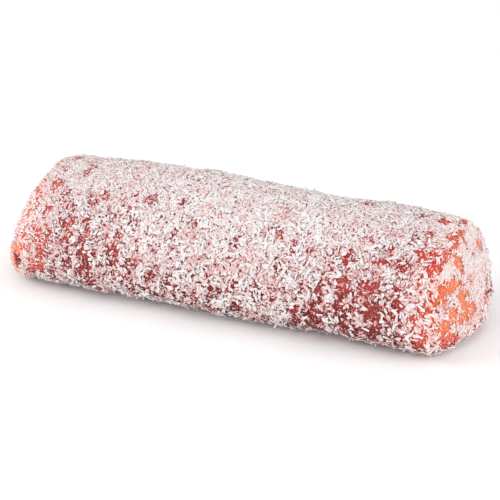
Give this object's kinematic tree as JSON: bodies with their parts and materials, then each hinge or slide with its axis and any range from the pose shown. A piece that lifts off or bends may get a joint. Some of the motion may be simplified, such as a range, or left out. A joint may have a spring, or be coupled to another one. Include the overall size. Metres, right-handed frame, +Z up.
{
  "type": "lamington cake",
  "caption": "Uncut log of sponge cake soaked in red fruit syrup and rolled in desiccated coconut, lying on its flat base.",
  "frame": {"origin": "middle of the cake's length and width, on the plane of its flat base", "axes": "+X along the cake's length towards its squarer end, +Z up, -Y the side that faces the viewer"},
  "size_m": [0.121, 0.044, 0.0285],
  "materials": {
    "coat": "the whole coated surface as it reads from afar: off-white coconut over raspberry-red sponge",
    "sponge": "sponge soaked in raspberry syrup, wet-looking, deep red on the sides and orange-red towards both ends",
    "coconut": "dry desiccated coconut, off-white, stained pink where it touches the syrup"
  },
  "bodies": {
    "root": {"cake": "coat"}
  },
  "joints": []
}
